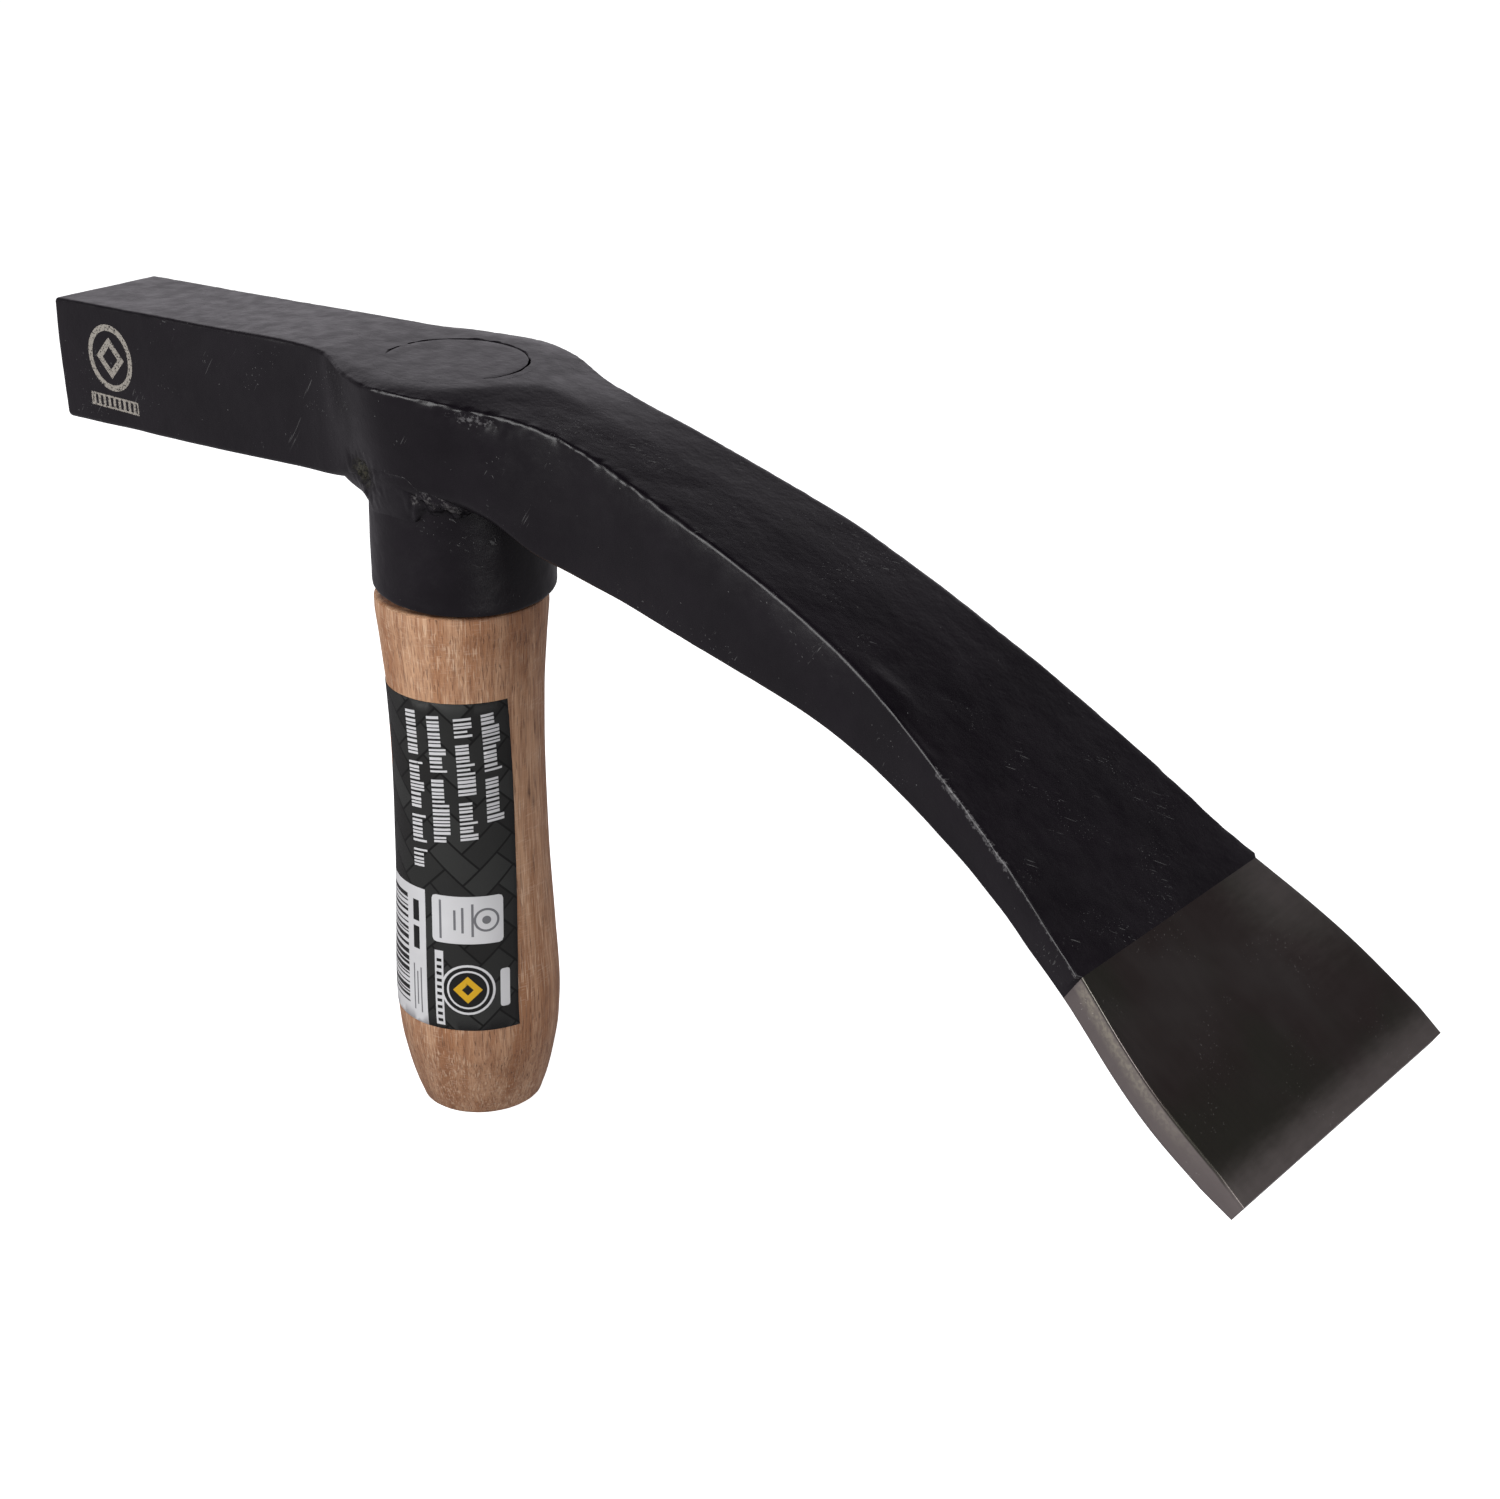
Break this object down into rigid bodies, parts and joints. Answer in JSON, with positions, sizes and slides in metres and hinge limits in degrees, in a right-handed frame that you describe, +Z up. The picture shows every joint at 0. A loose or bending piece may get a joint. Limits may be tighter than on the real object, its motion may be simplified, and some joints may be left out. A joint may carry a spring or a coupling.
{
  "type": "brick hammer",
  "caption": "Paver's brick hammer: forged head with a square poll and a broad down-curved blade, welded to a tube socket on a short turned wooden handle.",
  "frame": {"origin": "centre of the handle's flat butt", "axes": "+Z up the handle towards the head, +X along the head towards the cutting edge, Y across the head"},
  "size_m": [0.2988, 0.0684, 0.1588],
  "materials": {
    "head_paint": "satin black paint over forged and welded steel; the last stretch of the blade is bare ground steel",
    "handle_wood": "turned and sanded, unvarnished",
    "wedge_wood": "sawn",
    "label_paper": "printed, satin coated"
  },
  "bodies": {
    "root": {"head": "head_paint", "eye_plug": "head_paint", "eye_plug_weld": "head_paint", "socket_tube": "head_paint", "socket_weld": "head_paint", "handle": "handle_wood", "tenon_wedge": "wedge_wood", "label": "label_paper"}
  },
  "joints": []
}
